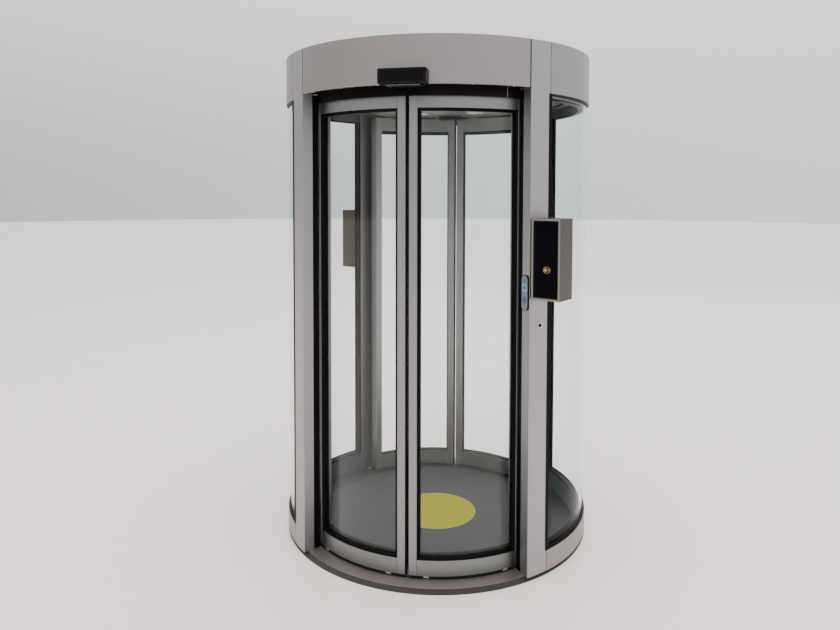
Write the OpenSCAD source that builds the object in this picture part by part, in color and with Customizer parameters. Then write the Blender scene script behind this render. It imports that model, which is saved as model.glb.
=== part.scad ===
// Round mantrap portal: two posts and two curved sliding leaves on each side,
// curved glass side walls, a floor pan and a ring-shaped header.
// The origin is the centre of the floor pan's underside. +Z is up and the
// front doorway faces -Y. Angles are measured from -Y towards +X.

/* [Portal] */
// Outside diameter over posts, plinths and header
outer_d = 1500; // [1300:10:1700]
// Overall height
portal_h = 2300; // [2260:10:2500]
// Height of the fascias' lower edge over the ground
door_h = 2100; // [2000:10:2140]
// Thickness of the bent sheet used for covers
sheet = 3; // [2:0.5:4]

/* [Floor] */
// Height of the floor pan, which is also the walking level
floor_h = 15; // [12:1:30]
// Width of the bevel across each doorway
bevel_w = 22; // [10:1:40]
// Thickness of the contact mat let into the pan
mat_t = 10; // [4:1:10]
// Diameter of the round standing mark on the mat
spot_d = 410; // [200:10:600]

/* [Posts] */
// Direction of the middle of the front right post
post_angle = 46.5; // [45:0.1:48]
// Width of a post, as an angle
post_span = 8.5; // [7:0.5:10]
// Radial depth of a post
post_depth = 50; // [40:1:60]

/* [Side walls] */
// Height of the kick plinth's outer skin
plinth_top = 105; // [70:1:110]
// Height of the kick plinth's inner skin
plinth_in_top = 110; // [100:1:160]
// Height of the side header's lower edge, outside
side_head_z = 2083; // [2070:1:2090]
// Height of the side header's lower edge, inside
head_in_z = 2068; // [2040:1:2068]
// Thickness of the side wall glass
wall_glass_t = 12; // [8:1:12]
// Distance of the side glass's outer face behind the outside
wall_glass_in = 25; // [20:1:26]

/* [Leaves] */
// Radius of the leaves' outer face
leaf_r = 660; // [655:1:661]
// Thickness of a leaf
leaf_t = 60; // [50:1:62]
// Height of a leaf's lower edge
leaf_z0 = 28; // [26:1:32]
// Width of the bottom rail
bottom_rail = 68; // [50:1:120]
// Height of the glazed opening's upper edge
glazed_top = 2015; // [1900:1:2030]
// Width of the stile at the meeting edge
meeting_stile = 35; // [30:1:60]
// Width of the stile at the tail edge
tail_stile = 48; // [40:1:70]
// Distance between the two leaves' stiles where they meet
meeting_gap = 15.6; // [12.6:0.2:16]
// Width of the rubber bead around the leaf's glass
bead_w = 13; // [8:1:16]
// Thickness of a leaf's glass
leaf_glass_t = 10; // [8:1:12]
// Distance of the glass's outer face behind the leaf's outer face
leaf_glass_in = 20; // [16:1:24]

/* [Fittings] */
// Width of a card reader housing's face
reader_w = 130; // [110:5:140]
// Depth of a card reader housing
reader_d = 120; // [100:5:125]
// Height of a card reader housing
reader_h = 340; // [200:10:400]
// Height of the housing's lower edge
reader_z = 1216; // [1000:2:1300]
// Width of a header sensor
sensor_w = 200; // [120:2:240]

/* [Hidden] */
$fn = 180;

outer_r = outer_d / 2;
over = 10;                       // reach of a cutter past what it cuts
play = 0.1;                      // left between pieces that only just meet
post_a0 = post_angle - post_span / 2;
post_a1 = post_angle + post_span / 2;
post_r0 = outer_r - post_depth;
side_a1 = 180 - post_a1;         // the side walls run from post_a1 to here
mat_r = post_r0 - 110;
cover_r0 = outer_r - sheet;

// Leaf angles and radii, for the front right leaf
leaf_r0 = leaf_r - leaf_t;
leaf_mid_r = leaf_r - leaf_t / 2;
leaf_a0 = arc_deg(meeting_gap / 2, leaf_r);
leaf_a1 = post_angle;
leaf_z1 = door_h - 5;
glazed_a0 = leaf_a0 + arc_deg(meeting_stile, leaf_r);
glazed_a1 = leaf_a1 - arc_deg(tail_stile, leaf_r);
glazed_z0 = leaf_z0 + bottom_rail;
bead_a = arc_deg(bead_w, leaf_r);
leaf_glass_r = leaf_r - leaf_glass_in;
leaf_glass_r0 = leaf_glass_r - leaf_glass_t;
inner_stile = 36.7;              // width of both stiles on the leaf's inner face
inner_a0 = leaf_a0 + arc_deg(inner_stile, leaf_r0);
inner_a1 = leaf_a1 - arc_deg(inner_stile, leaf_r0);
inner_z0 = glazed_z0 + 8;        // edges of the opening on the leaf's inner face
inner_z1 = glazed_top + 4;
lap = 0.8;                       // how far each meeting lip passes the centre

// Side wall radii
wall_glass_r = outer_r - wall_glass_in;
wall_glass_r0 = wall_glass_r - wall_glass_t;
wall_r0 = post_r0 - sheet;       // inner skin of plinth and side header
slot_r0 = wall_glass_r0 - 0.5;   // the slots for the side glass have some play
slot_r1 = wall_glass_r + 0.5;
channel_wall = 6;                // walls of the channels that hold the side glass
plinth_seat_z = plinth_top - 28;
head_seat_z = side_head_z + 30;

// Header heights
deck_z = door_h + 62;
deck_t = 8;
roof_z = portal_h - 12;
lip_w = 17;                      // width of the fascias' folded lips
seal_r0 = leaf_r + 6;            // nose of the jamb seals
rail_z = door_h + 8;             // underside of the ledges the wheels run on
rail_t = 6;
rail_in_r = leaf_mid_r - 12;     // inner ledge's edge
rail_out_r = leaf_mid_r + 12;    // outer ledge's edge
wheel_r = 14;
wheel_gap = 0.4;
stem_t = 12;
transom_r0 = leaf_r + 8;
ring_wall = 8;
ring_r0 = mat_r - 14;            // inner face of the ring's inner wall

reader_face = 12;                // margin round a reader's glass face

// Angle whose arc at radius r is w long
function arc_deg(w, r) = w / r * 180 / PI;

// Block between two radii, two heights and two angles
module arc_block(r0, r1, z0, z1, a0, a1) {
    arc_profile(a0, a1) translate([r0, z0]) square([r1 - r0, z1 - z0]);
}

// A section drawn as radius against height, swept between two angles
module arc_profile(a0, a1) {
    rotate([0, 0, a0 - 90]) rotate_extrude(angle = a1 - a0) children();
}

// A piece of the front or right side, and its twin across the middle
module rear() { rotate([0, 0, 180]) children(); }
module left() { mirror([1, 0, 0]) children(); }

// Floor

// Disc with a bevelled edge and a recess for the mat
module floor_pan() {
    color([0.42, 0.38, 0.38]) rotate_extrude()
        polygon([[0, 0], [outer_r, 0], [outer_r, 2], [outer_r - bevel_w, floor_h],
                 [mat_r, floor_h], [mat_r, floor_h - mat_t], [0, floor_h - mat_t]]);
}

module floor_mat() {
    color([0.38, 0.38, 0.38]) translate([0, 0, floor_h - mat_t])
        cylinder(r = mat_r, h = mat_t);
}

module floor_spot() {
    color([0.65, 0.63, 0.30]) translate([0, 0, floor_h]) cylinder(d = spot_d, h = 1);
}

// Posts: closed tubes that stand on the pan and carry the header

module post_front_right() {
    wall_a = arc_deg(sheet, post_r0);
    color([0.66, 0.66, 0.68]) difference() {
        arc_block(post_r0, outer_r, floor_h, portal_h, post_a0, post_a1);
        arc_block(post_r0 + sheet, cover_r0, floor_h - over, portal_h - sheet,
                  post_a0 + wall_a, post_a1 - wall_a);
    }
}

module post_front_left() { left() post_front_right(); }
module post_rear_left() { rear() post_front_right(); }
module post_rear_right() { rear() post_front_left(); }

// Rubber seals on the inner faces of the posts, which the leaves close against
module jamb_seals() {
    seal_a0 = post_a0 + 0.6;
    color([0.05, 0.05, 0.05]) for (turn = [0, 180]) rotate([0, 0, turn]) {
        jamb_seal(seal_a0);
        left() jamb_seal(seal_a0);
    }
}

module jamb_seal(seal_a0) {
    arc_block(seal_r0, post_r0, floor_h, door_h, seal_a0, seal_a0 + 1.6);
}

// Side walls: plinth, glass, gaskets and side header

module side_plinth_right() {
    web_z = plinth_seat_z - sheet;
    color([0.62, 0.61, 0.60]) arc_profile(post_a1, side_a1) {
        skins([floor_h, plinth_top], [floor_h, plinth_in_top]);
        flanges(plinth_top - sheet, plinth_in_top - sheet);
        glass_channel([web_z, plinth_top], [web_z, plinth_in_top], web_z);
    }
}

module side_header_right() {
    web_z = head_seat_z;
    channel_top = web_z + sheet;
    color([0.62, 0.61, 0.60]) arc_profile(post_a1, side_a1) {
        skins([side_head_z, portal_h], [head_in_z, deck_z]);
        flanges(side_head_z, head_in_z);
        glass_channel([side_head_z, channel_top], [head_in_z, channel_top], web_z);
        roof_lip();
    }
}

// Section between two radii and two heights
module section(r0, r1, z) { translate([r0, z[0]]) square([r1 - r0, z[1] - z[0]]); }

// The outer and the inner skin of a side wall's cover, each from z[0] to z[1]
module skins(outer_z, inner_z) {
    section(cover_r0, outer_r, outer_z);
    section(wall_r0, wall_r0 + sheet, inner_z);
}

// The folds that join both skins to the glass channel
module flanges(outer_z, inner_z) {
    section(slot_r1, outer_r, [outer_z, outer_z + sheet]);
    section(wall_r0, slot_r0, [inner_z, inner_z + sheet]);
}

// The U that holds the edge of the side glass: its outer wall, inner wall and web
module glass_channel(outer_z, inner_z, web_z) {
    section(slot_r1, slot_r1 + channel_wall, outer_z);
    section(slot_r0 - channel_wall, slot_r0, inner_z);
    section(slot_r0, slot_r1, [web_z, web_z + sheet]);
}

module side_plinth_left() { left() side_plinth_right(); }
module side_header_left() { left() side_header_right(); }

module side_glass() {
    end_gap = 0.2;
    color([0.75, 0.85, 0.80, 0.35]) for (turn = [0, 180]) rotate([0, 0, turn])
        arc_block(wall_glass_r0, wall_glass_r, plinth_seat_z, head_seat_z,
                  post_a1 + end_gap, side_a1 - end_gap);
}

// A bead all round each side glass, outside and inside
module side_gaskets() {
    color([0.05, 0.05, 0.05]) for (turn = [0, 180]) rotate([0, 0, turn]) {
        outer_bead();
        difference() {
            arc_block(wall_r0 + 6, slot_r0, plinth_in_top, head_in_z, post_a1, side_a1);
            arc_block(wall_r0, wall_glass_r, plinth_in_top + 4, head_in_z - 8,
                      post_a1 + 1, side_a1 - 1);
        }
    }
}

// The outer bead. It covers the whole width of the plinth's and the side header's
// edges, and each end laps over the post as a thin lip. The lip is notched round
// the card reader.
module outer_bead() {
    side_span = 0.7;
    lap_span = 0.6;
    lip_r0 = outer_r + 0.3;
    lip_r1 = outer_r + 1.5;
    difference() {
        arc_block(slot_r1, lip_r1, plinth_top, side_head_z - play,
                  post_a1 - lap_span, side_a1 + lap_span);
        arc_block(slot_r1 - over, lip_r1 + over, plinth_top + 4, side_head_z - 3,
                  post_a1 + side_span, side_a1 - side_span);
        arc_block(outer_r - 1, lip_r1 + over, plinth_top - over, side_head_z + over,
                  post_a1 + lap_span, side_a1 - lap_span);
        for (a = [post_a1 - 2, side_a1])
            arc_block(slot_r1 - over, lip_r0, plinth_top - over, side_head_z + over, a, a + 2);
        difference() {
            reader_block(-play, -play, -play,
                         [reader_w + 2 * play, reader_d + 2 * play, reader_h + 2 * play]);
            cylinder(r = outer_r - play, h = portal_h);
        }
    }
}

// Header

module fascia_front() {
    color([0.58, 0.55, 0.54]) arc_profile(-post_a0, post_a0) {
        translate([cover_r0, door_h]) square([sheet, portal_h - door_h]);
        translate([outer_r - lip_w, door_h]) square([lip_w, sheet]);
        roof_lip();
    }
}

module fascia_rear() { rear() fascia_front(); }

// Folded lip that the roof cover lies on
module roof_lip() {
    translate([outer_r - lip_w, roof_z - sheet]) square([lip_w, sheet]);
}

// Dark closing panel over a doorway, dropping in front of the leaves' top edge
module transom_front() {
    drop = 38;
    color([0.07, 0.07, 0.08]) arc_profile(-post_a0, post_a0) {
        translate([transom_r0, door_h + sheet]) square([cover_r0 - transom_r0, sheet]);
        translate([transom_r0, door_h - drop]) square([ring_wall, drop + 2 * sheet]);
    }
}

module transom_rear() { rear() transom_front(); }

// Ring beam: the deck that joins the posts, and the two rails under it
module track_ring() {
    color([0.20, 0.20, 0.22]) difference() {
        rotate_extrude() {
            translate([ring_r0 - 40, deck_z]) square([cover_r0 - ring_r0 + 40, deck_t]);
            translate([transom_r0, rail_z]) square([ring_wall, deck_z - rail_z]);
            translate([rail_out_r, rail_z]) square([transom_r0 - rail_out_r + 1, rail_t]);
            translate([ring_r0, door_h + sheet])
                square([ring_wall, deck_z - door_h - sheet]);
            translate([ring_r0 + 1, rail_z]) square([rail_in_r - ring_r0 - 1, rail_t]);
        }
        post_notches(deck_z, deck_z + deck_t);
    }
}

module roof_cover() {
    color([0.50, 0.50, 0.50]) difference() {
        translate([0, 0, roof_z]) cylinder(r = cover_r0, h = sheet);
        post_notches(roof_z, roof_z + sheet);
    }
}

// Room for the four posts in a plate between two heights
module post_notches(z0, z1) {
    for (turn = [0, 180]) rotate([0, 0, turn]) {
        arc_block(post_r0, outer_r + over, z0 - over, z1 + over, post_a0, post_a1);
        left() arc_block(post_r0, outer_r + over, z0 - over, z1 + over, post_a0, post_a1);
    }
}

module ceiling_panel() {
    color([0.60, 0.58, 0.55]) translate([0, 0, door_h])
        cylinder(r = ring_r0 + ring_wall, h = sheet);
}

// Flat round lamps under the ceiling
module ceiling_lights() {
    lamp_r = 45;
    lamp_t = 6;
    color([0.95, 0.95, 0.92]) for (x = [-150, 150], y = [-310, 310])
        translate([x, y, door_h - lamp_t]) cylinder(r = lamp_r, h = lamp_t);
}

module overhead_sensor() {
    size = [130, 70, 18];
    color([0.06, 0.06, 0.07]) translate([-size[0] / 2 - 20, 505, door_h - size[2]])
        cube(size);
}

// Door opening sensors on the fascias, beside the middle
module header_sensors() {
    sensor_h = 63;
    sensor_out = 60;
    off_centre = 9;
    color([0.06, 0.06, 0.07]) for (turn = [0, 180]) rotate([0, 0, turn]) difference() {
        translate([off_centre - sensor_w / 2, -outer_r - sensor_out + 6, door_h - 6])
            cube([sensor_w, 80, sensor_h]);
        translate([0, 0, door_h - over]) cylinder(r = outer_r, h = 100);
    }
}

// Fittings on the posts

// Block in a reader housing's own axes: x across the face, y inwards from it and
// z up. The housing's inner front corner is at the post's edge, and it is turned
// to face a person in front of the doorway.
module reader_block(x, y, z, size) {
    corner_r = outer_r + 10;
    turn = -25;
    a = post_a0 - 0.1;
    translate([corner_r * sin(a), -corner_r * cos(a), reader_z]) rotate([0, 0, turn])
        translate([x, y, z]) cube(size);
}

module reader_glass(y, depth) {
    reader_block(reader_face, y, reader_face,
                 [reader_w - 2 * reader_face, depth, reader_h - 2 * reader_face]);
}

module card_readers() {
    color([0.50, 0.47, 0.45]) for (turn = [0, 180]) rotate([0, 0, turn]) difference() {
        reader_block(0, 0, 0, [reader_w, reader_d, reader_h]);
        reader_block(sheet, sheet, sheet,
                     [reader_w - 2 * sheet, reader_d - 2 * sheet, reader_h - 2 * sheet]);
        reader_glass(-1, sheet + 2);
        cylinder(r = outer_r, h = portal_h);
    }
}

module reader_glasses() {
    color([0.02, 0.02, 0.03]) for (turn = [0, 180]) rotate([0, 0, turn])
        reader_glass(-1, sheet + 1);
}

module key_switches() {
    key_z = 1103;
    key_r = 17;
    color([0.75, 0.75, 0.77]) for (turn = [0, 180]) rotate([0, 0, turn + post_angle])
        translate([0, -outer_r, key_z]) rotate([90, 0, 0]) cylinder(r = key_r, h = 4);
}

// Small plates on the doorway faces of two posts
module jamb_plates() {
    plate_z0 = 1163;
    plate_z1 = 1316;
    color([0.80, 0.82, 0.85]) for (turn = [0, 180]) rotate([0, 0, turn])
        arc_block(post_r0 + 3, outer_r - 4, plate_z0, plate_z1, post_a0 - 0.6, post_a0);
}

// Leaves. Each is drawn closed; the front right one is the pattern.

// The glass stands in the opening cut from the inner face, with some play behind
// the opening cut from the outer face
module leaf_frame() {
    glass_play = 0.5;
    color([0.52, 0.54, 0.53]) difference() {
        arc_block(leaf_r0, leaf_r, leaf_z0, leaf_z1, leaf_a0, leaf_a1);
        arc_block(leaf_glass_r, leaf_r + over, glazed_z0, glazed_top, glazed_a0, glazed_a1);
        arc_block(leaf_r0 - over, leaf_glass_r + glass_play, inner_z0, inner_z1,
                  inner_a0, inner_a1);
    }
}

module leaf_glass() {
    color([0.75, 0.85, 0.80, 0.35])
        arc_block(leaf_glass_r0, leaf_glass_r, inner_z0, inner_z1, inner_a0, inner_a1);
}

// Glazing beads on both faces and the lip that closes the meeting gap
module leaf_seals(lip_outside) {
    lip_r = lip_outside ? leaf_r - 14 : leaf_r0 + 2;
    color([0.05, 0.05, 0.05]) {
        glazing_bead(leaf_glass_r + play, leaf_r - 4, [glazed_z0, glazed_top],
                     [glazed_a0, glazed_a1], [bead_w, bead_w]);
        glazing_bead(leaf_r0 + 4, leaf_glass_r0, [inner_z0, inner_z1],
                     [inner_a0, inner_a1], [4, 8]);
        arc_block(lip_r, lip_r + 12, leaf_z0 + 2, leaf_z1 - 2,
                  -arc_deg(lap, leaf_r), leaf_a0);
    }
}

// A bead just inside an opening between two heights z and two angles a. It is h[0]
// high along the lower edge and h[1] along the upper one.
module glazing_bead(r0, r1, z, a, h) {
    difference() {
        arc_block(r0, r1, z[0], z[1], a[0], a[1]);
        arc_block(r0 - over, r1 + over, z[0] + h[0], z[1] - h[1], a[0] + bead_a, a[1] - bead_a);
    }
}

// What a leaf hangs from and is guided by: two trolleys and two floor guides
module leaf_runners() {
    guide_h = 7.5;
    guide_r = leaf_r - 8;
    color([0.70, 0.70, 0.68]) {
        for (a = [9, 37]) trolley(a);
        for (a = [7.3, 38.2])
            arc_block(guide_r - 6, guide_r + 6, leaf_z0 - guide_h, leaf_z0, a - 1, a + 1);
    }
}

// Stem on the leaf's top edge with a wheel on each side
module trolley(a) {
    wheel_z = rail_z + rail_t + wheel_gap + wheel_r;
    arc_block(leaf_mid_r - stem_t / 2, leaf_mid_r + stem_t / 2, leaf_z1,
              wheel_z + 8, a - 2.4, a + 2.4);
    rotate([0, 0, a]) translate([0, 0, wheel_z]) rotate([90, 0, 0]) {
        translate([0, 0, leaf_mid_r - 14]) cylinder(r = 5, h = 28);
        translate([0, 0, leaf_mid_r - 22]) cylinder(r = wheel_r, h = 12);
        translate([0, 0, leaf_mid_r + 10]) cylinder(r = wheel_r, h = 12);
    }
}

module leaf_frame_front_right() { leaf_frame(); }
module leaf_frame_front_left() { left() leaf_frame(); }
module leaf_frame_rear_left() { rear() leaf_frame(); }
module leaf_frame_rear_right() { rear() left() leaf_frame(); }

module leaf_glass_front_right() { leaf_glass(); }
module leaf_glass_front_left() { left() leaf_glass(); }
module leaf_glass_rear_left() { rear() leaf_glass(); }
module leaf_glass_rear_right() { rear() left() leaf_glass(); }

module leaf_seals_front_right() { leaf_seals(false); }
module leaf_seals_front_left() { left() leaf_seals(true); }
module leaf_seals_rear_left() { rear() leaf_seals(false); }
module leaf_seals_rear_right() { rear() left() leaf_seals(true); }

module leaf_runners_front_right() { leaf_runners(); }
module leaf_runners_front_left() { left() leaf_runners(); }
module leaf_runners_rear_left() { rear() leaf_runners(); }
module leaf_runners_rear_right() { rear() left() leaf_runners(); }

floor_pan();
floor_mat();
floor_spot();
post_front_left();
post_front_right();
post_rear_left();
post_rear_right();
side_plinth_left();
side_plinth_right();
side_glass();
side_gaskets();
side_header_left();
side_header_right();
fascia_front();
fascia_rear();
transom_front();
transom_rear();
track_ring();
roof_cover();
ceiling_panel();
ceiling_lights();
overhead_sensor();
header_sensors();
jamb_seals();
card_readers();
reader_glasses();
key_switches();
jamb_plates();
leaf_frame_front_left();
leaf_frame_front_right();
leaf_frame_rear_left();
leaf_frame_rear_right();
leaf_glass_front_left();
leaf_glass_front_right();
leaf_glass_rear_left();
leaf_glass_rear_right();
leaf_seals_front_left();
leaf_seals_front_right();
leaf_seals_rear_left();
leaf_seals_rear_right();
leaf_runners_front_left();
leaf_runners_front_right();
leaf_runners_rear_left();
leaf_runners_rear_right();
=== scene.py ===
import math

import bmesh
import bpy
from mathutils import Matrix, Vector


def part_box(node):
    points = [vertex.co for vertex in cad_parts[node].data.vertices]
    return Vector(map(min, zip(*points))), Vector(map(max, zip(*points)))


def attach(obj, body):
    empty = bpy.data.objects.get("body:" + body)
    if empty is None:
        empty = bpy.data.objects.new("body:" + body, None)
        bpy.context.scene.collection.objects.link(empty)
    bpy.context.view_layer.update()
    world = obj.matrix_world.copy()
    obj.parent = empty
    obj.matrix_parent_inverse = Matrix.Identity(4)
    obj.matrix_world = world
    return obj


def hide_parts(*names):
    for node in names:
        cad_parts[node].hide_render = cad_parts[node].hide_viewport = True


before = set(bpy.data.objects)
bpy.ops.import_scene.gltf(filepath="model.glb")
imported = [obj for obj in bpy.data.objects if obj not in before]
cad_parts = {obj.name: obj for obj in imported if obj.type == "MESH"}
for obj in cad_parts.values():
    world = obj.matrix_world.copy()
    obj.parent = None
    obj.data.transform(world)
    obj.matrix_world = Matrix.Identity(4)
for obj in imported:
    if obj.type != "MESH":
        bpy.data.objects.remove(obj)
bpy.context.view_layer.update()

# Camera and studio. The camera stands at a visitor's eye height a little to the
# right of the front doorway. The floor is a pale satin slab under a pale even
# sky, with soft boxes in front, behind and above.
camera_data = bpy.data.cameras.new("camera")
camera_data.lens = 30.08
camera_data.shift_y = -0.1117


def placed(name, data):
    """A new object, linked into the scene."""
    thing = bpy.data.objects.new(name, data)
    bpy.context.scene.collection.objects.link(thing)
    return thing


camera = placed("camera", camera_data)
camera.location = (0.6697, -3.5188, 1.6672)
camera.rotation_euler = (math.radians(87.576), math.radians(-0.119), math.radians(12.138))
bpy.context.scene.camera = camera


class Wire:
    """A socket of a material's nodes. Sums and products of wires add Math nodes."""

    def __init__(self, tree, socket):
        self.tree = tree
        self.socket = socket

    def add(self, kind, settings, inputs, output=0):
        """A new node: its settings first, then the values or wires of its inputs."""
        node = self.tree.nodes.new("ShaderNode" + kind)
        for setting, value in settings.items():
            setattr(node, setting, value)
        for name, value in inputs.items():
            if isinstance(value, Wire):
                self.tree.links.new(value.socket, node.inputs[name])
            else:
                node.inputs[name].default_value = value
        return Wire(self.tree, node.outputs[output])

    def maths(self, operation, *values):
        return self.add("Math", {"operation": operation}, dict(enumerate(values)))

    def __add__(self, other):
        return self.maths("ADD", self, other)

    def __sub__(self, other):
        return self.maths("SUBTRACT", self, other)

    def __rsub__(self, other):
        return self.maths("SUBTRACT", other, self)

    def __mul__(self, other):
        return self.maths("MULTIPLY", self, other)

    def __abs__(self):
        return self.maths("ABSOLUTE", self)

    __radd__ = __add__
    __rmul__ = __mul__

    def length(self):
        """The length of this vector."""
        return self.add("VectorMath", {"operation": "LENGTH"}, {0: self}, 1)

    def along(self, direction):
        """How far this vector reaches in a direction."""
        return self.add("VectorMath", {"operation": "DOT_PRODUCT"}, {0: self, 1: direction}, 1)

    def above(self, edge, width):
        """0 below edge - width, 1 above edge + width, and a ramp between."""
        return self.add("MapRange", {"interpolation_type": "SMOOTHSTEP"},
                        {"Value": self, "From Min": edge - width, "From Max": edge + width})

    def noise(self, scale, detail=2.0, stretch=(1, 1, 1)):
        """Noise from 0 to 1 on these coordinates, scaled more along some axes than others."""
        mapped = self.add("Mapping", {}, {"Vector": self, "Scale": stretch})
        return self.add("TexNoise", {}, {"Vector": mapped, "Scale": scale, "Detail": detail})

    def mix(self, first, second):
        """The first colour where this is 0, the second where it is 1."""
        return self.add("Mix", {"data_type": "RGBA"}, {"Factor": self, 6: first, 7: second}, 2)

    def bump(self, height):
        """A normal for a surface whose relief is this, height metres from 0 to 1."""
        return self.add("Bump", {}, {"Height": self, "Distance": height, "Strength": 1.0})


class Finish:
    """A material on a Principled shader, with its constants set and its coordinates ready."""

    def __init__(self, name, constants):
        self.material = bpy.data.materials.new(name)
        self.material.use_nodes = True
        tree = self.material.node_tree
        self.shader = tree.nodes["Principled BSDF"]
        self.output = tree.nodes["Material Output"]
        for socket, value in constants.items():
            self.shader.inputs[socket].default_value = value
        coordinates = tree.nodes.new("ShaderNodeTexCoord")
        self.place = Wire(tree, coordinates.outputs["Object"])

    def feed(self, wires):
        """The material, once these wires are joined to the shader's sockets."""
        for socket, wire in wires.items():
            self.place.tree.links.new(wire.socket, self.shader.inputs[socket])
        return self.material


studio_floor = bmesh.new()
bmesh.ops.create_circle(studio_floor, cap_ends=True, segments=96, radius=40)
floor_mesh = bpy.data.meshes.new("studio_floor")
studio_floor.to_mesh(floor_mesh)
studio_floor.free()
slab = Finish("studio_floor", {"Roughness": 0.22, "Specular IOR Level": 0.35})
floor_tint = slab.place.noise(0.6).mix((0.92, 0.83, 0.79, 1), (0.94, 0.85, 0.82, 1))
floor_mesh.materials.append(slab.feed({"Base Color": floor_tint}))
floor_object = placed("studio_floor", floor_mesh)

world = bpy.data.worlds.new("sky")
world.use_nodes = True
backdrop = world.node_tree.nodes["Background"]
coordinates = world.node_tree.nodes.new("ShaderNodeTexCoord")
sky = Wire(world.node_tree, coordinates.outputs["Object"])
bright_side = sky.along((0.6, 0.55, 0))
upwards = sky.add("SeparateXYZ", {}, {"Vector": sky}, 2)
around = (bright_side * 0.62 + 0.5).mix((0.42, 0.39, 0.38, 1), (1.12, 1.17, 1.22, 1))
sky_colour = upwards.above(0.3, 0.35).mix(around, (2.0, 2.0, 2.0, 1))
world.node_tree.links.new(sky_colour.socket, backdrop.inputs["Color"])
bpy.context.scene.world = world


def soft_box(name, place, aim, size, watts, colour):
    """A rectangular lamp at a place, turned to face another and hidden from reflections."""
    lamp = bpy.data.lights.new(name, "AREA")
    lamp.shape = "RECTANGLE"
    lamp.size, lamp.size_y = size
    lamp.energy = watts
    lamp.color = colour
    lamp_object = placed(name, lamp)
    lamp_object.location = place
    lamp_object.rotation_euler = (Vector(aim) - Vector(place)).to_track_quat("-Z", "Y").to_euler()
    lamp_object.visible_glossy = False
    lamp_object.visible_transmission = False


soft_box("key", (3.6, -5.0, 5.2), (0, 0, 1.2), (14, 10), 160, (1.0, 0.98, 0.95))
soft_box("back", (0.5, 6.2, 5.4), (0, 0, 1.2), (14, 10), 200, (0.96, 0.98, 1.0))
soft_box("top", (0, 0, 6.5), (0, 0, 0), (12, 12), 120, (1, 1, 1))

# Floor pan: a round welded pan of satin sheet steel on the finished floor, bright
# in the doorways. Inside and under the leaves its steel is painted near black as
# shade. Its rim is level where people step over it and slopes down to a thin edge,
# whose slope is painted dark as shade.
pan_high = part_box("floor_pan")[1]
outer_r, floor_z = pan_high.x, pan_high.z
mat_low, mat_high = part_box("floor_mat")
mat_r, mat_bed_z = mat_high.x, mat_low.z
rim_z = 0.002
rim_slope = 0.022
bed_draft = 0.0002
sill_w = 0.090
doorway_half = 0.50


def finish_piece(name, bm, material, body, slot, *replaced):
    """Makes a bmesh a piece: doubles merged, faces outwards, smooth but at its edges."""
    bmesh.ops.remove_doubles(bm, verts=bm.verts, dist=0.00002)
    bmesh.ops.recalc_face_normals(bm, faces=bm.faces)
    mesh = bpy.data.meshes.new(name)
    bm.to_mesh(mesh)
    bm.free()
    mesh.shade_smooth()
    mesh.set_sharp_from_angle(angle=math.radians(40))
    mesh.materials.append(material)
    piece = placed(name, mesh)
    even = piece.modifiers.new("even_shading", "WEIGHTED_NORMAL")
    even.keep_sharp = True
    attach(piece, body)
    if replaced:
        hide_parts(*replaced)


def round_edges(bm, offset, segments=3, where=None):
    """Bevels the edges between faces that meet at more than 30 degrees."""
    sharp = [edge for edge in bm.edges if len(edge.link_faces) == 2
             and edge.calc_face_angle(0) > math.radians(30) and (where is None or where(edge))]
    bmesh.ops.bevel(bm, geom=sharp, offset=offset, segments=segments, profile=0.5,
                    affect="EDGES", material=-1, clamp_overlap=True)


pan = bmesh.new()
bmesh.ops.create_circle(pan, cap_ends=True, segments=240, radius=outer_r)
underside = pan.faces[:]
raised = bmesh.ops.extrude_face_region(pan, geom=underside, use_keep_orig=True)
pan_top = [part for part in raised["geom"] if isinstance(part, bmesh.types.BMFace)]
bmesh.ops.translate(pan, verts=pan_top[0].verts, vec=(0, 0, rim_z))
bmesh.ops.inset_individual(pan, faces=pan_top, thickness=rim_slope, depth=floor_z - rim_z)
bmesh.ops.inset_individual(pan, faces=pan_top, thickness=outer_r - rim_slope - mat_r)
round_edges(pan, 0.0006, 2)
bmesh.ops.inset_individual(pan, faces=pan_top, thickness=bed_draft, depth=mat_bed_z - floor_z)

pan_steel = Finish("pan_steel", {"Specular IOR Level": 0.3})
scuffs = pan_steel.place.noise(9, 5)
drift = pan_steel.place.noise(2.2, 3)
pan_radius = pan_steel.place.length()
on_slope = pan_radius.above(outer_r - rim_slope + 0.0008, 0.0006)
across = pan_steel.place.add("SeparateXYZ", {}, {0: pan_steel.place})
beside_doorways = abs(across).above(doorway_half, 0.002)
outside_leaves = pan_radius.above(outer_r - sill_w, 0.002) * (1 - beside_doorways)
# Inside the leaves' outer face and beside the doorways the steel is painted near black: painted shade
# under the leaves.
painted_shade_floor = drift.mix((0.052, 0.052, 0.054, 1), (0.074, 0.074, 0.077, 1))
sill_colour = drift.mix((0.250, 0.212, 0.206, 1), (0.330, 0.290, 0.282, 1))
pan_colour = outside_leaves.mix(painted_shade_floor, sill_colour)
# The outer slope is painted dark brown-black as shade; the scuffs only mottle it.
painted_shade_slope = scuffs.mix((0.022, 0.016, 0.014, 1), (0.034, 0.026, 0.023, 1))
finish_piece("floor_pan_rim", pan,
             pan_steel.feed({"Base Color": on_slope.mix(pan_colour, painted_shade_slope),
                             "Metallic": 0.75 - on_slope * 0.75,
                             "Roughness": 0.32 + scuffs * 0.22,
                             "Normal": pan_steel.place.noise(700, 2).bump(0.00006)}),
             "housing", "pan", "floor_pan")

# Contact mat: grey ribbed matting glued into the pan, which senses a standing
# person. A yellow disc is laid on it where the person stands; its pale edge is a
# painted highlight, and a painted shadow rings it on the mat.
mat_gap = 0.0015
rib_scale = 52.0
spot_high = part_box("floor_spot")[1]
spot_r, spot_z = spot_high.x, spot_high.z
rim_w = 0.004
shadow_ring_w = 0.0035


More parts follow.
